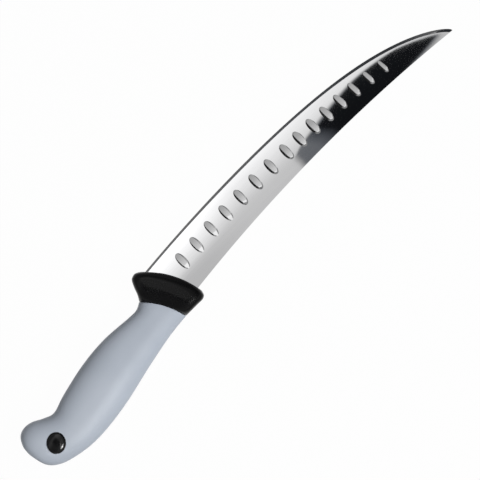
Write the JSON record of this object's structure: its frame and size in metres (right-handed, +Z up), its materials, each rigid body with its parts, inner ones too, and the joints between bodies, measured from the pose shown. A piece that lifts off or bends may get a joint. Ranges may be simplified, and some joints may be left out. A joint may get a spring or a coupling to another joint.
{
  "type": "butcher knife",
  "caption": "Curved butcher's slicing knife with a scalloped polished steel blade, black plastic collar and soft blue-grey grip with a domed butt rivet.",
  "frame": {"origin": "middle of the knife's outline, on the surface that it lies on", "axes": "+X along the knife towards its tip, +Y towards the cutting edge, +Z up from the surface, square to the blade"},
  "size_m": [0.3396, 0.0518, 0.022],
  "materials": {
    "blade_steel": "finely polished along its length, with a ground edge",
    "collar_plastic": "satin black hard plastic",
    "grip_soft": "satin blue-grey soft plastic",
    "core_plastic": "plain dark moulded plastic",
    "pin_steel": "plain drawn steel",
    "rivet_plastic": "glossy black"
  },
  "bodies": {
    "root": {"blade": "blade_steel", "collar": "collar_plastic", "grip": "grip_soft", "core_left": "core_plastic", "core_right": "core_plastic", "tang_pin_front": "pin_steel", "tang_pin_rear": "pin_steel", "butt_rivet_post": "rivet_plastic", "butt_rivet_cap": "rivet_plastic"}
  },
  "joints": []
}
